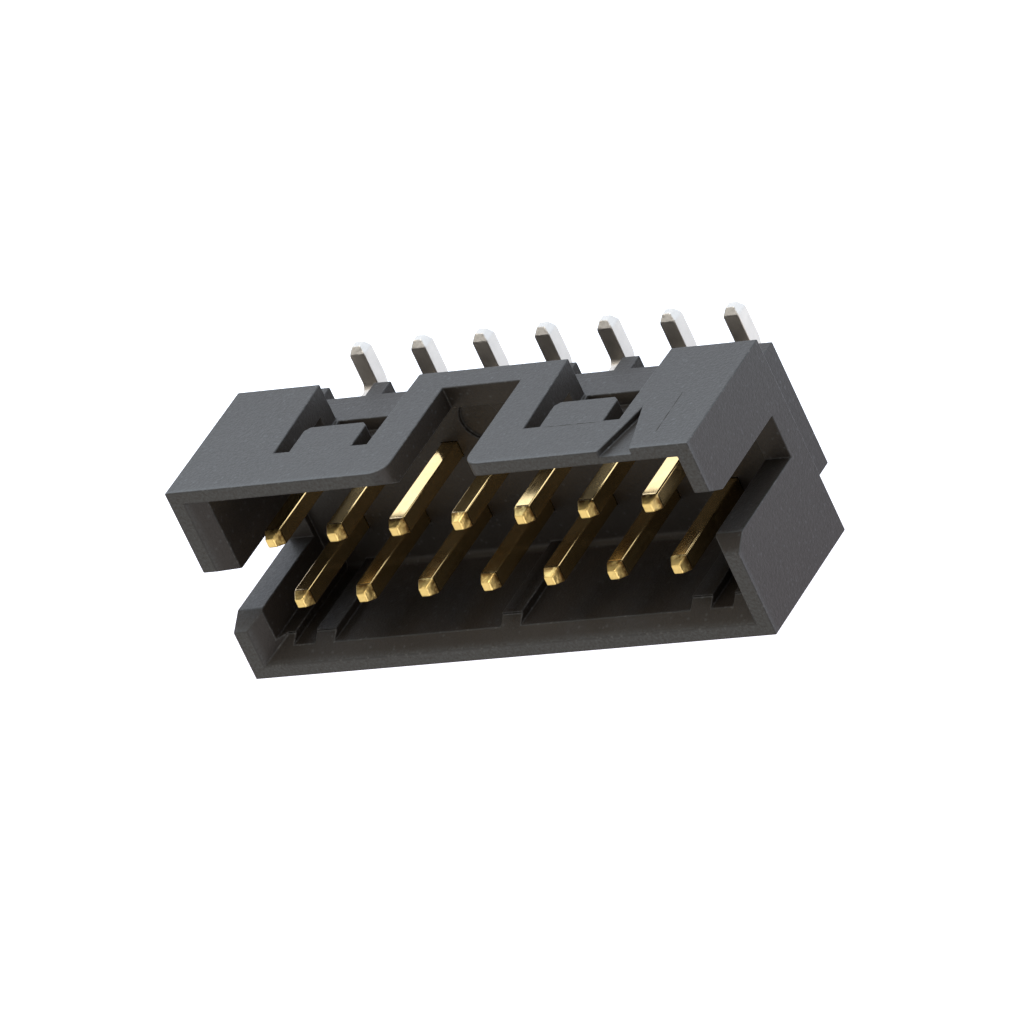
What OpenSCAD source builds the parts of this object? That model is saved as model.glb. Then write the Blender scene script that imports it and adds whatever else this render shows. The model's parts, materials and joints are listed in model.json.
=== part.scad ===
// Shrouded pin header for a board, two rows of square pins, surface mount, with a keyed and latched mouth.
// The board lies at z = 0, the pins point along +Z, and the origin is under the middle of the pin field.
// The key slot, the latch windows and the pin-one mark are in the wall at -Y.

/* [Contacts] */
// Contacts in each of the two rows
columns = 7; // [7:1:20]
// Distance between neighbouring contacts, along and across the rows
pitch = 2; // [1.8:0.05:2.6]
// Side of the square contact wire
wire = 0.5; // [0.4:0.02:0.64]
// Length of the coined taper at the tip of a pin
taper_len = 0.32; // [0.1:0.02:0.6]
// Length of the coined taper at the tip of a foot
foot_taper_len = 0.22; // [0.1:0.02:0.4]
// Side of the small flat at the end of a taper
taper_flat = 0.26; // [0.1:0.02:0.36]
// Distance from the rim of the shroud down to the pin tips
tip_drop = 0.3; // [0:0.05:1.5]
// Reach of a foot's tip from the middle of its leg
foot_reach = 1.57; // [1.3:0.01:3]
// Inside radius of the bend between leg and foot
bend_r = 0.2; // [0.1:0.05:0.4]
// Clearance on each side of a contact in its hole
contact_fit = 0.01; // [0.005:0.005:0.03]

/* [Shroud] */
// Height of the shroud's lower edge above the board
skirt_z = 2.9; // [2.7:0.05:4]
// Height of the shroud from its lower edge to its rim
shroud_h = 4.6; // [4.2:0.1:8]
// Distance from the last contact to the outside of an end wall
end_margin = 2.3; // [2.1:0.05:3.5]
// Distance from a row of contacts to the outside of a long wall
side_margin = 2.1; // [2:0.05:3]
// Thickness of the two long walls
side_wall = 0.67; // [0.5:0.01:0.8]
// Thickness of the two end walls
end_wall = 0.83; // [0.5:0.01:1]
// Thickness of the cavity floor above the shroud's lower edge
floor_t = 0.6; // [0.4:0.05:0.75]
// Radius between the cavity floor and the plain wall
floor_r = 0.2; // [0.05:0.05:0.4]
// Depth below the rim at which the lead-in meets the walls
lead_depth = 0.5; // [0.2:0.05:0.7]
// Slope of the lead-in on the long walls from upright, in degrees
lead_angle = 30; // [15:1:32]
// Slope of the lead-in on the end walls from upright, in degrees
end_lead_angle = 37; // [15:1:40]

/* [Locating ribs inside the plain wall] */
// Height of the ribs from the wall
rib_h = 0.23; // [0.1:0.01:0.35]
// Width of a rib
rib_w = 0.65; // [0.4:0.05:1]
// Length of the land in each corner, from the end wall
land_len = 0.47; // [0.3:0.01:0.7]

/* [Key slot and end slots] */
// Width of the key slot
key_w = 2.5; // [1.5:0.05:2.7]
// Radius of the corners at the key slot's mouth
key_r = 0.5; // [0.2:0.05:0.6]
// Height of the sill under each slot, above the shroud's lower edge
sill_h = 0.8; // [0.8:0.05:1.5]
// Width of the slot in each end wall
end_slot_w = 1.34; // [1:0.02:1.8]
// Distance of an end slot from the middle, to -Y at the -X end and to +Y at the +X end
end_slot_shift = 0.53; // [0:0.01:0.8]
// Width of the bevel on each side of an end slot's mouth
mouth_bevel_w = 0.34; // [0.1:0.01:0.4]
// Height of the bevel on each side of an end slot's mouth
mouth_bevel_h = 0.58; // [0.2:0.02:0.8]

/* [Latch windows] */
// Distance from the last contact in to the middle of a window
window_inset = 2; // [1.8:0.05:2.2]
// Width of a window at its top
window_w = 3; // [2.6:0.05:3.2]
// Extra width on each side of a window at the shroud's lower edge
window_flare = 0.12; // [0:0.01:0.2]
// Height of a window from the shroud's lower edge
window_h = 3.13; // [2.6:0.05:3.2]
// Width of the tongue that stands in a window
tongue_w = 2; // [1.2:0.05:2.2]
// Length of the tongue from the top of the window
tongue_len = 1.08; // [0.5:0.02:1.4]
// Bevel on the two corners at the end of the tongue
tongue_bevel = 0.15; // [0.05:0.01:0.3]
// Height of the recess in the floor behind a window, above the shroud's lower edge
recess_h = 0.12; // [0.06:0.02:0.3]
// Distance from a row of contacts to that recess
recess_margin = 0.55; // [0.45:0.01:0.6]

/* [Pin-one mark and ejector mark] */
// Width of the triangular mark at the rim
mark_w = 1; // [0.6:0.05:1.2]
// Length of the mark from the rim to its point
mark_len = 1.9; // [1:0.05:2]
// Depth of the mark
mark_depth = 0.18; // [0.05:0.01:0.25]
// Diameter of the sunk ejector mark on the cavity floor
ejector_d = 1.3; // [0.8:0.05:1.5]
// Depth of the ejector mark
ejector_depth = 0.1; // [0.02:0.01:0.15]
// Distance of the ejector mark along the header from its middle
ejector_x = 0.7; // [0.5:0.05:1]
// Distance of the ejector mark from the row of contacts on the key side, towards the wall
ejector_y = 0.84; // [0.8:0.02:1.1]

/* [Base and comb] */
// Distance from the last contact to the end of the base
base_end_margin = 1.45; // [1.2:0.01:1.7]
// Distance from a row of contacts to the side of the base
base_side_margin = 1.03; // [0.8:0.01:1.2]
// Distance of the base from the middle, away from the key side
base_shift = 0.08; // [0:0.01:0.15]
// Height of the base below the shroud
base_h = 0.75; // [0.5:0.05:0.9]
// Step in from the side of the base to the comb
comb_step = 0.05; // [0.02:0.01:0.15]
// Height of the comb's web below the base
web_h = 0.35; // [0.2:0.05:0.4]
// Height of the comb's teeth below the web
tooth_h = 0.58; // [0.3:0.02:0.6]
// Thickness of a tooth
tooth_w = 0.55; // [0.4:0.05:0.7]

/* [Hidden] */
$fn = 48;
ROWS = ["a", "b"];

// What a cutting shape reaches past the face that it opens
past = 0.2;
row_len = (columns - 1) * pitch;
body_l = row_len + 2 * end_margin;
body_w = pitch + 2 * side_margin;
cavity_l = body_l - 2 * end_wall;
cavity_w = body_w - 2 * side_wall;
base_l = row_len + 2 * base_end_margin;
base_w = pitch + 2 * base_side_margin;
comb_w = base_w - 2 * comb_step;
rim_z = skirt_z + shroud_h;
floor_z = skirt_z + floor_t;
sill_z = skirt_z + sill_h;
base_z = skirt_z - base_h;
web_z = base_z - web_h;
tooth_z = web_z - tooth_h;
tip_z = rim_z - tip_drop;
hole_w = wire + 2 * contact_fit;

function contact_name(row, column) = str("contact_", row, column);
function contact_x(column) = (column - (columns + 1) / 2) * pitch;

// A box on the middle of X and Y, from one height up to another
module block(length, width, low, high) {
  translate([-length / 2, -width / 2, low]) cube([length, width, high - low]);
}

// An outline in X and Z, given thickness along Y from a starting place
module plate_xz(from_y, thickness) {
  translate([0, from_y + thickness, 0]) rotate([90, 0, 0]) linear_extrude(thickness) children();
}

// An outline in Y and Z, given thickness along X from a starting place
module plate_yz(from_x, thickness) {
  translate([from_x, 0, 0]) rotate([90, 0, 90]) linear_extrude(thickness) children();
}

// Half sizes of the lead-in at its foot, on the ribs, and just past the rim
module lead_in_outline(half_size, angle) {
  slope = tan(angle);
  foot = half_size - rib_h;
  top = half_size + (lead_depth + past) * slope;
  foot_z = rim_z - lead_depth - rib_h / slope;
  polygon([[-foot, foot_z], [foot, foot_z], [top, rim_z + past], [-top, rim_z + past]]);
}

// The sloping mouth, mitred at its corners
module lead_in() {
  intersection() {
    plate_xz(-body_w, 2 * body_w) lead_in_outline(cavity_l / 2, end_lead_angle);
    plate_yz(-body_l, 2 * body_l) lead_in_outline(cavity_w / 2, lead_angle);
  }
}

// Ribs that locate the mating plug, at both end columns, the middle and the corners
module locating_ribs() {
  rib_y = cavity_w / 2 - rib_h;
  for (x = [-row_len / 2, 0, row_len / 2])
    translate([x - rib_w / 2, rib_y, floor_z - past]) cube([rib_w, rib_h + past, shroud_h]);
  for (side = [0, 1])
    mirror([side, 0, 0])
      translate([cavity_l / 2 - land_len, rib_y, floor_z - past])
        cube([land_len + past, rib_h + past, shroud_h]);
}

// The rounded corner between the cavity floor and the plain wall
module floor_corner() {
  difference() {
    translate([-cavity_l / 2 - past, cavity_w / 2 - floor_r, floor_z - past])
      cube([cavity_l + 2 * past, floor_r + past, floor_r + past]);
    translate([-body_l / 2, cavity_w / 2 - floor_r, floor_z + floor_r])
      rotate([0, 90, 0]) cylinder(r = floor_r, h = body_l);
  }
}

// The round mark that an ejector pin leaves in the floor, as far as the wall
module ejector_mark() {
  intersection() {
    translate([ejector_x, -pitch / 2 - ejector_y, floor_z - ejector_depth])
      cylinder(d = ejector_d, h = ejector_depth + past);
    block(cavity_l, cavity_w, skirt_z, rim_z);
  }
}

module cavity() {
  difference() {
    block(cavity_l, cavity_w, floor_z, rim_z + past);
    locating_ribs();
    floor_corner();
  }
  lead_in();
  ejector_mark();
}

// The key slot, with its two mouth corners rounded outwards
module key_slot() {
  mouth_w = key_w + 2 * key_r;
  translate([0, -body_w / 2 - past, 0]) {
    translate([-key_w / 2, 0, sill_z]) cube([key_w, side_wall + 2 * past, shroud_h]);
    difference() {
      translate([-mouth_w / 2, 0, rim_z - key_r]) cube([mouth_w, side_wall + 2 * past, key_r + past]);
      for (side = [-1, 1])
        translate([side * mouth_w / 2, -past, rim_z - key_r])
          rotate([-90, 0, 0]) cylinder(r = key_r, h = side_wall + 4 * past);
    }
  }
}

// The slot in the wall at +X, open at the rim between two bevels
module end_slot() {
  half = end_slot_w / 2;
  bevel_z = rim_z - mouth_bevel_h;
  plate_yz(body_l / 2 - end_wall - past, end_wall + 2 * past)
    translate([end_slot_shift, 0])
      polygon([
        [-half, sill_z], [half, sill_z], [half, bevel_z],
        [half + mouth_bevel_w, rim_z], [half + mouth_bevel_w, rim_z + past],
        [-half - mouth_bevel_w, rim_z + past], [-half - mouth_bevel_w, rim_z],
        [-half, bevel_z]
      ]);
}

// A latch window, open at the shroud's lower edge, with a tongue standing down into it
module latch_window() {
  half = window_w / 2;
  low_half = half + window_flare;
  top = skirt_z + window_h;
  tongue = tongue_w / 2;
  tongue_z = top - tongue_len;
  plate_xz(-body_w / 2 - past, past + (body_w - base_w) / 2 + base_shift)
    polygon([
      [-low_half, skirt_z - past], [low_half, skirt_z - past], [low_half, skirt_z], [half, top],
      [tongue, top], [tongue, tongue_z + tongue_bevel], [tongue - tongue_bevel, tongue_z],
      [-tongue + tongue_bevel, tongue_z], [-tongue, tongue_z + tongue_bevel], [-tongue, top],
      [-half, top], [-low_half, skirt_z]
    ]);
  translate([-half, -body_w / 2 - past, skirt_z + recess_h])
    cube([window_w, past + side_margin - recess_margin, floor_t + past - recess_h]);
}

// The sunk triangle that points along the first contact's column
module pin_one_mark() {
  half = mark_w / 2;
  translate([contact_x(1), 0, rim_z])
    plate_xz(-body_w / 2 - past, past + mark_depth)
      polygon([[-half, 0], [0, -mark_len], [half, 0], [half, past], [-half, past]]);
}

module shroud() {
  difference() {
    block(body_l, body_w, skirt_z, rim_z);
    cavity();
    key_slot();
    for (turn = [0, 180]) rotate(turn) end_slot();
    for (side = [-1, 1]) translate([side * (row_len / 2 - window_inset), 0, 0]) latch_window();
    pin_one_mark();
  }
}

// The base that holds the contacts, with a comb of teeth between their legs
module base() {
  end_tooth = base_l / 2 - row_len / 2 - pitch / 2 + tooth_w / 2;
  translate([0, base_shift, 0]) {
    block(base_l, base_w, base_z, skirt_z);
    block(base_l, comb_w, web_z, base_z);
    for (column = [1 : columns - 1])
      translate([contact_x(column) + pitch / 2, 0, 0]) block(tooth_w, comb_w, tooth_z, web_z);
    for (side = [-1, 1])
      translate([side * (base_l - end_tooth) / 2, 0, 0]) block(end_tooth, comb_w, tooth_z, web_z);
  }
}

module at_contact(row, column) {
  translate([contact_x(column), 0, 0]) mirror([0, row == "a" ? 0 : 1, 0]) translate([0, -pitch / 2, 0])
    children();
}

// The black moulding
module housing() {
  color("#2a2b2e")
    difference() {
      union() {
        shroud();
        base();
      }
      for (row = ROWS, column = [1 : columns])
        at_contact(row, column) block(hole_w, hole_w, tooth_z, floor_z + past);
    }
}

// A square bar along +Z with a coined taper at its end
module tapered_bar(length, taper) {
  half = wire / 2;
  flat = taper_flat / 2;
  shoulder = length - taper;
  intersection_for (turn = [0, 90])
    rotate(turn)
      plate_xz(-half, wire)
        polygon([[-half, 0], [half, 0], [half, shoulder], [flat, length], [-flat, length], [-half, shoulder]]);
}

// A pin, leg and foot of one bent wire, with its foot towards -Y
module contact() {
  bend_y = -wire / 2 - bend_r;
  bend_z = wire + bend_r;
  color("#d8b45a") {
    translate([0, 0, bend_z]) tapered_bar(tip_z - bend_z, taper_len);
    translate([0, bend_y, bend_z]) rotate([0, 90, 0])
      rotate_extrude(angle = 90) translate([bend_r, -wire / 2]) square(wire);
    translate([0, bend_y, wire / 2]) rotate([90, 0, 0]) tapered_bar(foot_reach + bend_y, foot_taper_len);
  }
}

housing();
for (row = ROWS, column = [1 : columns])
  at_contact(row, column) contact();
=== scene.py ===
# %% [markdown]
# A small box header for a circuit board stands here on its solder feet. It is one black moulding with
# two rows of bent square wire pressed through it, gilt where a plug slides on and tinned where it is
# soldered. The solids come ready from the frame, at their true size in metres. This lesson gives them
# what a drawing leaves out: soft and worn edges, a moulded grain, plating and studio light.

# %% Load the frame
import json
import math

import bpy
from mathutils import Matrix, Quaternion, Vector

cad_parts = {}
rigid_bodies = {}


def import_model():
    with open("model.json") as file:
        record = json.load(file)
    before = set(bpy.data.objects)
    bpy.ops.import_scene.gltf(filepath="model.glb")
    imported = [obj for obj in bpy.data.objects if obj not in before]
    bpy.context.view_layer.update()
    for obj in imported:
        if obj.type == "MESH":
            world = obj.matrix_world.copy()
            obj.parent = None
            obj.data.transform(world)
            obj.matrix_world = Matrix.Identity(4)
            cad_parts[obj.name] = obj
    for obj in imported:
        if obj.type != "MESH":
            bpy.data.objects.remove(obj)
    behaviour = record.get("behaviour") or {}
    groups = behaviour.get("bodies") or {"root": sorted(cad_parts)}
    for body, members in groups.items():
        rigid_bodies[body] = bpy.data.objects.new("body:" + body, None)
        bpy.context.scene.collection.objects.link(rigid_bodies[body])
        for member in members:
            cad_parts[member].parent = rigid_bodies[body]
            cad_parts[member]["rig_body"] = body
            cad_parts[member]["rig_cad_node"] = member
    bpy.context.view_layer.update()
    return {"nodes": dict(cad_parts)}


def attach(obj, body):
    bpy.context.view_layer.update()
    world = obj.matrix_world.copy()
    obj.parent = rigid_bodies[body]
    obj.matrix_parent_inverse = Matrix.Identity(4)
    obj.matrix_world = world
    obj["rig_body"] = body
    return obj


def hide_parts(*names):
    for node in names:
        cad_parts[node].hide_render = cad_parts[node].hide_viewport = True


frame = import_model()

MM = 0.001
WIRE_NODES = sorted(name for name in frame["nodes"] if name.startswith("contact_"))
print("frame", len(frame["nodes"]), "nodes,", len(WIRE_NODES), "of them contacts")

# %% [markdown]
# The picture is taken from far away with a long lens, so the two ends of the header look almost the
# same size. A camera is easiest to set from three facts: where it stands, what it looks at, and how far
# it is rolled about that line. It is rolled a long way here, because the header was laid on its side.

# %% Place the camera
CAMERA_PLACE = Vector((-167.56, -137.99, 213.43)) * MM
LOOK_AT = Vector((0.362, 0.555, 4.409)) * MM
CAMERA_ROLL = math.radians(-145.39)
LENS_MM = 400.4
SENSOR_MM = 36
CLIP_NEAR = 0.01
CLIP_FAR = 20

bpy.ops.object.select_all(action="DESELECT")
bpy.ops.object.camera_add(location=CAMERA_PLACE)
camera = bpy.context.object
camera.name = "camera"
camera.rotation_mode = "QUATERNION"
aim = (LOOK_AT - CAMERA_PLACE).to_track_quat("-Z", "Y")
camera.rotation_quaternion = aim @ Quaternion((0, 0, 1), CAMERA_ROLL)
camera.data.lens = LENS_MM
camera.data.sensor_width = SENSOR_MM
camera.data.clip_start = CLIP_NEAR
camera.data.clip_end = CLIP_FAR
bpy.context.scene.camera = camera
print("camera stands", round((LOOK_AT - CAMERA_PLACE).length, 4), "m away")

# %% [markdown]
# A finish is a tree of nodes. Clicked together by hand it is a sheet of boxes and wires, and in code it
# soon grows long, so the work that every node needs is done once here. An input is fed either a value or
# the output of another node, and one helper does both.

# %% Add and feed nodes


def feed(node, inputs):
    """Sets each named input to a value, or joins it to the output that is given for it."""
    for key, value in inputs.items():
        if isinstance(value, bpy.types.NodeSocket):
            node.id_data.links.new(value, node.inputs[key])
        else:
            node.inputs[key].default_value = value


def add_node(tree, kind, place, inputs=None, **settings):
    """Adds a node at a place on the sheet, sets its properties and then feeds its inputs."""
    node = tree.nodes.new(kind)
    node.location = place
    for key, value in settings.items():
        setattr(node, key, value)
    feed(node, inputs or {})
    return node


def new_material(name):
    """Makes a material and gives back it, its tree and its shader."""
    material = bpy.data.materials.new(name)
    material.use_nodes = True
    tree = material.node_tree
    return material, tree, tree.nodes["Principled BSDF"]


print("node helpers", feed.__name__, add_node.__name__, new_material.__name__)

# %% [markdown]
# Every finish here has its pattern in the solid, not wrapped round it, so all of them read Object
# coordinates, scaled to millimetres. Two steps come again and again after that: a value faded from one
# range to another, and two tones blended. Each gets a short helper that gives back its output, so that a
# recipe reads from top to bottom.

# %% Steps that every finish shares
MM_PER_METRE = 1000


def solid_place(tree, place):
    """Adds Object coordinates in millimetres."""
    x, y = place
    here = add_node(tree, "ShaderNodeTexCoord", place).outputs["Object"]
    to_mm = {"Vector": here, "Scale": (MM_PER_METRE, MM_PER_METRE, MM_PER_METRE)}
    return add_node(tree, "ShaderNodeMapping", (x + 200, y), to_mm).outputs["Vector"]


def fade(tree, place, value, start, end, to=(0, 1), **settings):
    """Fades from the first of two numbers to the second as a value goes from start to end."""
    span = {"Value": value, "From Min": start, "From Max": end, "To Min": to[0], "To Max": to[1]}
    return add_node(tree, "ShaderNodeMapRange", place, span, **settings).outputs["Result"]


def blend(tree, place, factor, first, second, kind="RGBA"):
    """Blends from one tone or number to another."""
    parts = {"Factor": factor, "A": first, "B": second}
    return add_node(tree, "ShaderNodeMix", place, parts, data_type=kind).outputs["Result"]


print("shared steps", solid_place.__name__, fade.__name__, blend.__name__)

# %% [markdown]
# A part this small is photographed on a white sweep that glows brighter than the part itself. The paper
# gets light of its own, so it stays white round the feet, and every black face mirrors some of it: that
# mirrored paper is most of what makes black plastic look grey. It glows more, and a little bluer, on the
# side of the key slot, so the two long faces and the two ends don't come out in one flat tone.

# %% Lay the floor
FLOOR_SIDE = 4
PAPER_TONE = (0.25, 0.25, 0.25, 1)
PAPER_ROUGHNESS = 0.9
PAPER_MIRROR = 0.1
PLAIN_SIDE_GLOW = (1.06, 1.03, 1.17, 1)
KEY_SIDE_GLOW = (2.28, 2.59, 2.92, 1)
PLAIN_GLOW_TO_MM = 10
KEY_GLOW_FROM_MM = -14

paper, tree, shader = new_material("white_paper")
paper_mm = solid_place(tree, (-1100, 0))
across = add_node(tree, "ShaderNodeSeparateXYZ", (-700, 0), {"Vector": paper_mm}).outputs["Y"]
soft = {"interpolation_type": "SMOOTHSTEP"}
key_side = fade(tree, (-500, 0), across, PLAIN_GLOW_TO_MM, KEY_GLOW_FROM_MM, **soft)
glow = blend(tree, (-300, 0), key_side, PLAIN_SIDE_GLOW, KEY_SIDE_GLOW)
feed(shader, {"Base Color": PAPER_TONE, "Roughness": PAPER_ROUGHNESS, "Specular IOR Level": PAPER_MIRROR})
feed(shader, {"Emission Color": glow, "Emission Strength": 1})

bpy.ops.object.select_all(action="DESELECT")
bpy.ops.mesh.primitive_plane_add(size=FLOOR_SIDE, location=(0, 0, 0))
floor = bpy.context.object
floor.name = "floor"
floor.data.materials.append(paper)
print("floor", floor.dimensions.x, "m wide")

# %% [markdown]
# Three soft boxes stand round the paper. The key stands low beside the latch windows, too low to shine
# down into the mouth, so the mouth stays dark. The sky panel hangs where the rim and the cut ends of the
# pins mirror it to the camera. The front panel stands by the camera and lifts the lead-in of the far end
# and the side of each pin's taper.

# %% Hang the lights
HEADER_MIDDLE = Vector((0, 0, 4)) * MM
LIGHT_DISTANCE = 0.5


def soft_box(name, direction, size, watts, colour):
    """Hangs a square soft box in a direction from the header, turned towards it."""
    bpy.ops.object.select_all(action="DESELECT")
    place = HEADER_MIDDLE + Vector(direction).normalized() * LIGHT_DISTANCE
    bpy.ops.object.light_add(type="AREA", location=place)
    light = bpy.context.object
    light.name = name
    light.rotation_euler = (HEADER_MIDDLE - place).to_track_quat("-Z", "Y").to_euler()
    light.data.shape = "SQUARE"
    light.data.size = size
    light.data.energy = watts
    light.data.color = colour


soft_box("key_box", direction=(0.0, -1.0, 0.08), size=0.30, watts=2.5, colour=(0.94, 0.87, 0.77))
soft_box("sky_panel", direction=(0.68, 0.08, 0.73), size=0.80, watts=2.0, colour=(1.0, 0.98, 0.94))
soft_box("front_panel", direction=(-0.75, 0.35, 0.50), size=0.60, watts=2.1, colour=(1.0, 0.96, 0.97))

# %% [markdown]
# Light also comes from all round, off the walls of the room. A weak warm world stands for them, and it
# keeps the inside of the mouth from going quite black. The Standard view leaves the tones as they are
# mixed, so a white paper comes out white.

# %% Fill the room
ROOM_TONE = (1, 0.94, 0.86, 1)
ROOM_STRENGTH = 0.5

world = bpy.data.worlds.new("studio")
world.use_nodes = True
feed(world.node_tree.nodes["Background"], {"Color": ROOM_TONE, "Strength": ROOM_STRENGTH})
bpy.context.scene.world = world
bpy.context.scene.view_settings.view_transform = "Standard"
print("room", world.name, "strength", ROOM_STRENGTH)

# %% [markdown]
# Plastic and metal are uneven, and the paper isn't, so they need two more steps: a noise, and two values
# put together, such as a mask times another mask.

# %% Steps for uneven surfaces


def combine(tree, place, operation, first, second):
    """Puts two values together by a sum, a product, the larger, the smaller or a comparison."""
    values = {0: first, 1: second}
    return add_node(tree, "ShaderNodeMath", place, values, operation=operation).outputs["Value"]


def noise(tree, place, vector, scale, detail, roughness=0.5):
    """Adds a noise with so many lumps to a millimetre."""
    look = {"Vector": vector, "Scale": scale, "Detail": detail, "Roughness": roughness}
    return add_node(tree, "ShaderNodeTexNoise", place, look).outputs["Fac"]


print("steps for uneven surfaces", combine.__name__, noise.__name__)

# %% [markdown]
# Glass-filled plastic copies the fine spark-eroded texture of its mould, and short fibres lie just under
# the skin as pale specks. Both the flat faces and the edges, lightened partly by wear and partly by a
# painted highlight, show them, so they are one group. It gives a height for the bump, a mask for the
# specks and slow clouds for the tone. A speck is the middle of a Voronoi cell, and a cell's random colour
# decides whether its speck shows.

# %% Moulded grain, a group for the plastic
GRAIN_INPUTS = {"Grain per mm": 12, "Speck per mm": 9, "Speck Amount": 0.5}
GRAIN_OUTPUTS = ("Height", "Specks", "Cloud")
CLOUDS_PER_MM = 0.9
SPECK_RIM = 0.55
SPECK_CORE = 0.15

grain = bpy.data.node_groups.new("moulded_grain", "ShaderNodeTree")
for label, value in GRAIN_INPUTS.items():
    socket = grain.interface.new_socket(label, in_out="INPUT", socket_type="NodeSocketFloat")
    socket.default_value = value
for label in GRAIN_OUTPUTS:
    grain.interface.new_socket(label, in_out="OUTPUT", socket_type="NodeSocketFloat")

dials = add_node(grain, "NodeGroupInput", (-1300, -300)).outputs
at_mm = solid_place(grain, (-1300, 200))
fine = noise(grain, (-700, 300), at_mm, dials["Grain per mm"], detail=4, roughness=0.6)
cloud = noise(grain, (-700, 0), at_mm, CLOUDS_PER_MM, detail=3, roughness=0.55)
cells = {"Vector": at_mm, "Scale": dials["Speck per mm"], "Randomness": 1}
dots = add_node(grain, "ShaderNodeTexVoronoi", (-700, -300), cells).outputs
dot_mask = fade(grain, (-450, -300), dots["Distance"], SPECK_RIM, SPECK_CORE)
lot = add_node(grain, "ShaderNodeSeparateColor", (-450, -600), {"Color": dots["Color"]}).outputs["Red"]
chosen = combine(grain, (-200, -600), "LESS_THAN", lot, dials["Speck Amount"])
specks = combine(grain, (50, -350), "MULTIPLY", dot_mask, chosen)
add_node(grain, "NodeGroupOutput", (300, 0), {"Height": fine, "Specks": specks, "Cloud": cloud})
print("group", grain.name, [item.name for item in grain.interface.items_tree])

# %% [markdown]
# The plastic is nearly black, a little lighter in clouds where the resin flowed, with pale specks. The
# grain sets the roughness as well as the bump, and the eye reads the uneven mirror as a matt skin. The
# edge finish is the same stuff, greyer and duller, with more pale specks: partly its skin worn off, and
# partly a painted highlight that lightens every bevel, the inner ones too. One function makes both.

# %% Black plastic and its edges, worn and with a painted highlight
SKIN_MIRROR = 0.28
SKIN_BUMP_MM = 0.011
ROUGHNESS_SPREAD = 0.12
FIBRE_TONE = (0.028, 0.028, 0.028, 1)


def moulded_plastic(name, dark, light, speck_tone, speck_amount, rough):
    """Makes a moulded plastic from its two tones, its specks and its roughness."""
    material, tree, shader = new_material(name)
    dial = {"Speck Amount": speck_amount}
    skin = add_node(tree, "ShaderNodeGroup", (-900, 0), dial, node_tree=grain, name="grain").outputs
    tone = blend(tree, (-600, 250), skin["Cloud"], dark, light)
    spotted = blend(tree, (-350, 250), skin["Specks"], tone, speck_tone)
    spotted.node.name = "spotted"
    uneven = (rough - ROUGHNESS_SPREAD, rough + ROUGHNESS_SPREAD)
    gloss = fade(tree, (-600, -50), skin["Height"], 0, 1, to=uneven)
    gloss.node.name = "gloss"
    relief = {"Strength": 1, "Distance": SKIN_BUMP_MM * MM, "Height": skin["Height"]}
    bump = add_node(tree, "ShaderNodeBump", (-350, -250), relief).outputs["Normal"]
    feed(shader, {"Base Color": spotted, "Roughness": gloss, "Normal": bump})
    feed(shader, {"Specular IOR Level": SKIN_MIRROR})
    return material


black_plastic = moulded_plastic(
    "black_plastic",
    dark=(0.011, 0.0088, 0.0072, 1),
    light=(0.0145, 0.012, 0.010, 1),
    speck_tone=FIBRE_TONE,
    speck_amount=0.06,
    rough=0.48,
)
# Every bevel gets this lighter tone and its pale specks: partly worn skin, partly a painted highlight.
edge_wear_and_highlight = moulded_plastic(
    "edge_wear_and_highlight",
    dark=(0.018, 0.018, 0.018, 1),
    light=(0.030, 0.030, 0.030, 1),
    speck_tone=(0.05, 0.05, 0.05, 1),
    speck_amount=0.4,
    rough=0.60,
)
print("plastics", black_plastic.name, edge_wear_and_highlight.name)

# %% [markdown]
# The rim is ground a little by handling, so more fibre shows there. A fade over the last part of the
# height says where, and the grain's own height breaks it up, so the wear looks mottled and not sprayed
# on. The worn fibre takes the place of the specks wherever it is the stronger of the two.

# %% Ground rim
WORN_FROM_MM = 7.3
WORN_FULL_MM = 7.47
MOTTLE_FROM = 0.28
MOTTLE_FULL = 0.72
GROUND_TONE = (0.040, 0.043, 0.045, 1)

tree = black_plastic.node_tree
skin = tree.nodes["grain"].outputs
plastic_mm = solid_place(tree, (-2300, -600))
height = add_node(tree, "ShaderNodeSeparateXYZ", (-1500, 150), {"Vector": plastic_mm}).outputs["Z"]
worn = fade(tree, (-1300, 150), height, WORN_FROM_MM, WORN_FULL_MM)
mottled = fade(tree, (-1100, 150), skin["Height"], MOTTLE_FROM, MOTTLE_FULL)
ground = combine(tree, (-900, 150), "MULTIPLY", worn, mottled)
showing = combine(tree, (-600, 750), "MAXIMUM", skin["Specks"], ground)
fibre = blend(tree, (-600, 500), worn, FIBRE_TONE, GROUND_TONE)
feed(tree.nodes["spotted"], {"Factor": showing, "B": fibre})
print("rim worn from", WORN_FROM_MM, "mm up")

# %% [markdown]
# Where two inserts of the mould meet, they leave a hair line. One runs up the key side near the first
# pin, and one crosses the root of the tongue beside it. A line is the inside of a very thin box, so its
# mask is the distance from the box's middle, measured in half sizes. A noise makes it fainter here and
# there. The line is quite rough, so it mirrors less of the paper and looks dark.

# %% Mould lines
MOULD_LINES_MM = [
    {"middle": (-7.015, -3.1, 5.95), "half": (0.016, 0.05, 0.88)},
    {"middle": (-4.03, -3.1, 6.08), "half": (0.90, 0.05, 0.014)},
]
LINE_OUTSIDE = 1.3
LINE_INSIDE = 0.8
GAPS_PER_MM = 3.5
GAP_FROM = 0.30
GAP_TO = 0.50
FAINTEST = 0.5


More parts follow.
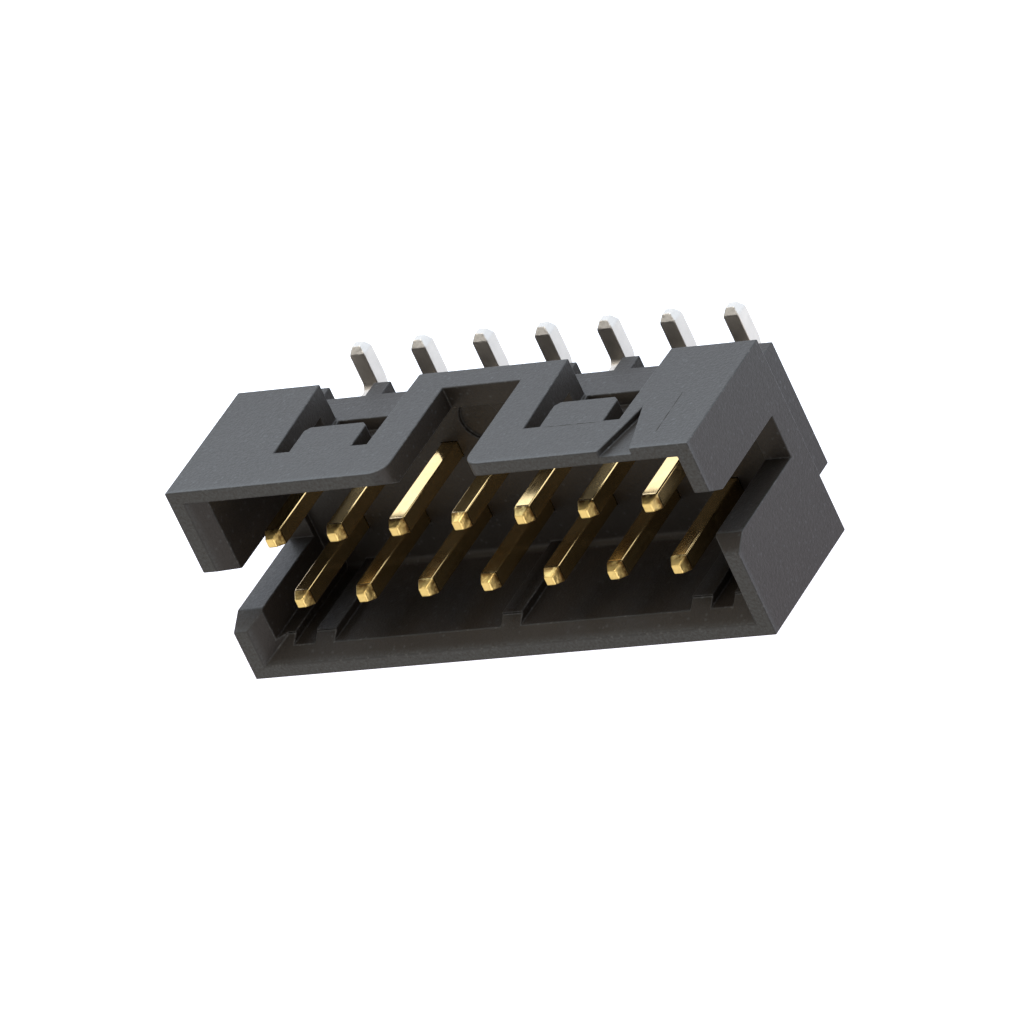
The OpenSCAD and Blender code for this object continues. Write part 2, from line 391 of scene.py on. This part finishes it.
def box_distance(tree, place, vector, middle, half):
    """Measures how far a point is from a box's middle in half sizes, so it is 1 on the box's sides."""
    x, y = place
    shift = [-at / size for at, size in zip(middle, half)]
    to_unit = {"Vector": vector, "Location": shift, "Scale": [1 / size for size in half]}
    unit = add_node(tree, "ShaderNodeMapping", place, to_unit).outputs["Vector"]
    away = add_node(tree, "ShaderNodeVectorMath", (x + 200, y), {0: unit}, operation="ABSOLUTE")
    parts = {"Vector": away.outputs["Vector"]}
    sides = add_node(tree, "ShaderNodeSeparateXYZ", (x + 400, y), parts).outputs
    wider = combine(tree, (x + 600, y), "MAXIMUM", sides["X"], sides["Y"])
    return combine(tree, (x + 800, y), "MAXIMUM", wider, sides["Z"])


first_line, second_line = MOULD_LINES_MM
to_first = box_distance(tree, (-1900, -500), plastic_mm, **first_line)
to_second = box_distance(tree, (-1900, -800), plastic_mm, **second_line)
nearest = combine(tree, (-900, -650), "MINIMUM", to_first, to_second)
on_line = fade(tree, (-700, -650), nearest, LINE_OUTSIDE, LINE_INSIDE)
gaps = noise(tree, (-900, -900), plastic_mm, GAPS_PER_MM, detail=2)
broken = fade(tree, (-700, -900), gaps, GAP_FROM, GAP_TO, to=(FAINTEST, 1))
line = combine(tree, (-500, -750), "MULTIPLY", on_line, broken)
dull = combine(tree, (-200, -500), "MAXIMUM", tree.nodes["gloss"].outputs["Result"], line)
feed(tree.nodes["Principled BSDF"], {"Roughness": dull})
print("mould lines", len(MOULD_LINES_MM))

# %% [markdown]
# The contacts are drawn square wire. Nickel and gold lie on the mating pin, and tin on the leg and the
# foot, and the two meet inside the base where nobody looks. A contact always stands the same way up, so
# its height tells the plating, the bend and the cut tip apart, and the distance from the middle of the
# header finds the tip of the foot.

# %% Zones along the wire
PLATING_LINE_MM = 2.6
BEND_LINE_MM = 0.7
PIN_TAPER_MM = 6.88
FOOT_TAPER_MM = 2.35
TAPER_BLUR_MM = 0.03

plated_wire, tree, shader = new_material("plated_wire")


def past(place, value, line_mm, blur_mm):
    """Is 0 before a line on the wire and 1 past it, with a soft change between."""
    return fade(tree, place, value, line_mm - blur_mm, line_mm + blur_mm)


wire_mm = solid_place(tree, (-1700, 0))
split = add_node(tree, "ShaderNodeSeparateXYZ", (-1300, -300), {"Vector": wire_mm}).outputs
sideways = add_node(tree, "ShaderNodeMath", (-1100, -1300), {0: split["Y"]}, operation="ABSOLUTE")
gilt = past((-850, -300), split["Z"], PLATING_LINE_MM, blur_mm=0.1)
above_bend = past((-850, -550), split["Z"], BEND_LINE_MM, blur_mm=0.2)
pin_tip = past((-850, -800), split["Z"], PIN_TAPER_MM, TAPER_BLUR_MM)
foot_tip = past((-850, -1300), sideways.outputs["Value"], FOOT_TAPER_MM, TAPER_BLUR_MM)
at_tip = combine(tree, (-600, -1200), "MAXIMUM", pin_tip, foot_tip)
print("plating changes at", PLATING_LINE_MM, "mm above the board")

# %% [markdown]
# Drawing leaves fine lines along the wire, which run up the pin and out along the foot. A noise that is
# stretched along Z gives the first and one stretched along Y the second, and the bend joins them. The
# tips were cut and coined, so they are dented, and a brown stain is left on a pin where its taper starts.

# %% Drawing lines, dents and stain
LINES_PER_MM = 12
STRETCHED_PER_MM = 0.4
DENTS_PER_MM = 5
STAIN_FROM = 0.32
STAIN_FULL = 0.52
STAIN_ENDS_MM = PIN_TAPER_MM + 0.24
STAIN_FULL_MM = PIN_TAPER_MM + 0.06


def drawn_lines(y, scale):
    """Makes a noise that is stretched along one axis."""
    stretch = {"Vector": wire_mm, "Scale": scale}
    stretched = add_node(tree, "ShaderNodeMapping", (-1100, y), stretch).outputs["Vector"]
    return noise(tree, (-850, y), stretched, scale=1, detail=2)


up_the_pin = drawn_lines(250, (LINES_PER_MM, LINES_PER_MM, STRETCHED_PER_MM))
along_the_foot = drawn_lines(0, (LINES_PER_MM, STRETCHED_PER_MM, LINES_PER_MM))
lines = blend(tree, (-600, 100), above_bend, along_the_foot, up_the_pin, kind="FLOAT")
dents = noise(tree, (-850, -1050), wire_mm, DENTS_PER_MM, detail=3, roughness=0.55)
tip_dents = combine(tree, (-600, -950), "MULTIPLY", dents, at_tip)
spots = fade(tree, (-600, -1400), dents, STAIN_FROM, STAIN_FULL)
taper_root = fade(tree, (-600, -1650), split["Z"], STAIN_ENDS_MM, STAIN_FULL_MM)
low_spots = combine(tree, (-400, -1400), "MULTIPLY", spots, taper_root)
stain = combine(tree, (-200, -1400), "MULTIPLY", low_spots, pin_tip)
print("stain fades out", round(STAIN_ENDS_MM, 2), "mm up")

# %% [markdown]
# Neither metal is one flat tone: each drifts a little between two, in patches smaller than a pin is
# wide. A coined tip has one even tone, gold on the pins and tin on the feet, and the stain goes on last.

# %% Tones of the plating
PATCHES_PER_MM = 3.5
DARK_GOLD = (0.56, 0.38, 0.15, 1)
LIGHT_GOLD = (0.72, 0.52, 0.25, 1)
DARK_TIN = (0.41, 0.385, 0.352, 1)
LIGHT_TIN = (0.51, 0.478, 0.438, 1)
COINED_TIN = (0.46, 0.445, 0.42, 1)
COINED_GOLD = (0.66, 0.495, 0.19, 1)
STAIN_BROWN = (0.15, 0.085, 0.027, 1)

patches = noise(tree, (-850, 500), wire_mm, PATCHES_PER_MM, detail=4, roughness=0.6)
gold_tone = blend(tree, (-500, 600), patches, DARK_GOLD, LIGHT_GOLD)
tin_tone = blend(tree, (-500, 350), patches, DARK_TIN, LIGHT_TIN)
plating = blend(tree, (-250, 600), gilt, tin_tone, gold_tone)
coined_tone = blend(tree, (-250, 350), gilt, COINED_TIN, COINED_GOLD)
coined = blend(tree, (-50, 500), at_tip, plating, coined_tone)
stained = blend(tree, (150, 500), stain, coined, STAIN_BROWN)
feed(shader, {"Base Color": stained})
print("tones of gold and tin, with", PATCHES_PER_MM, "patches to a millimetre")

# %% [markdown]
# Gold over nickel is a fair mirror, with a gloss that follows the drawing lines. Tin is duller, and a
# coined tip is about as dull as tin, because the tool marked it. The dents are fed to one bump and the
# drawing lines to a second that starts from the first, so that each keeps its own depth.

# %% Shine and relief of the plating
GOLD_ROUGHNESS = (0.08, 0.16)
TIN_DULLER_BY = 0.32
TIP_ROUGHNESS = 0.42
DENT_MM = 0.035
DRAWN_LINE_MM = 0.0004
METAL_SHARE = 0.97

shine = fade(tree, (-350, 0), lines, 0, 1, to=GOLD_ROUGHNESS)
tin_dull = fade(tree, (-350, -200), gilt, 0, 1, to=(TIN_DULLER_BY, 0))
dullness = combine(tree, (-150, -100), "ADD", shine, tin_dull)
tip_dull = fade(tree, (-350, -450), at_tip, 0, 1, to=(0, TIP_ROUGHNESS))
dullest = combine(tree, (0, -100), "MAXIMUM", dullness, tip_dull)
dented = {"Strength": 1, "Distance": DENT_MM * MM, "Height": tip_dents}
tip_bump = add_node(tree, "ShaderNodeBump", (-350, -700), dented).outputs["Normal"]
drawn = {"Strength": 1, "Distance": DRAWN_LINE_MM * MM, "Height": lines, "Normal": tip_bump}
wire_bump = add_node(tree, "ShaderNodeBump", (-150, -350), drawn).outputs["Normal"]
feed(shader, {"Roughness": dullest, "Normal": wire_bump, "Metallic": METAL_SHARE})
print("finish", plated_wire.name, len(tree.nodes), "nodes")

# %% [markdown]
# A drawing has razor edges and a real part has none. A copy of each solid is merged, because it comes as
# loose triangles, and its flat faces are cleaned of their triangle lines. Then every sharp edge gets a
# narrow bevel, and the bevel's faces take the last finish in the piece's list.

# %% Round the edges of the moulding
SHARP_ANGLE = math.radians(18)
FLAT_ANGLE = math.radians(0.5)
MERGE_MM = 0.0005
MOULDED_EDGE_MM = 0.03


def softened_copy(node, name, edge_mm, steps, finishes):
    """Copies a node, merges and cleans the copy, bevels its sharp edges and dresses it."""
    bpy.ops.object.select_all(action="DESELECT")
    piece = frame["nodes"][node].copy()
    piece.data = piece.data.copy()
    piece.name = name
    piece.data.name = name
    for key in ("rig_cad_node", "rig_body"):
        del piece[key]
    piece.parent = None
    bpy.context.scene.collection.objects.link(piece)
    bpy.context.view_layer.objects.active = piece
    piece.select_set(True)
    piece.data.materials.clear()
    for finish in finishes:
        piece.data.materials.append(finish)
    bpy.ops.object.mode_set(mode="EDIT")
    bpy.ops.mesh.select_all(action="SELECT")
    bpy.ops.mesh.remove_doubles(threshold=MERGE_MM * MM)
    bpy.ops.mesh.customdata_custom_splitnormals_clear()
    bpy.ops.mesh.dissolve_limited(angle_limit=FLAT_ANGLE)
    bpy.ops.object.mode_set(mode="OBJECT")
    bpy.ops.object.shade_smooth()
    bevel = piece.modifiers.new("soft_edges", "BEVEL")
    bevel.limit_method = "ANGLE"
    bevel.angle_limit = SHARP_ANGLE
    bevel.width = edge_mm * MM
    bevel.segments = steps
    bevel.use_clamp_overlap = False
    bevel.harden_normals = True
    bevel.material = len(finishes) - 1
    bpy.ops.object.modifier_apply(modifier=bevel.name)
    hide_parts(node)
    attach(piece, "root")
    return piece


# The moulding's bevels take the lighter edge finish, which is partly wear and partly a painted highlight.
plastics = [black_plastic, edge_wear_and_highlight]
header_moulding = softened_copy("housing", "header_moulding", MOULDED_EDGE_MM, steps=2, finishes=plastics)
print("moulding", len(header_moulding.data.polygons), "faces")

# %% [markdown]
# The wire's edges are rounder than the moulding's, because it was drawn through a die, and they catch
# the light in a thin line. They get one step more, so that the line stays smooth.

# %% Round the edges of the contacts
WIRE_EDGE_MM = 0.045

for node in WIRE_NODES:
    name = node.replace("contact_", "wire_")
    wire = softened_copy(node, name, WIRE_EDGE_MM, steps=3, finishes=[plated_wire])
print("contacts", len(WIRE_NODES), "with", len(wire.data.polygons), "faces each")
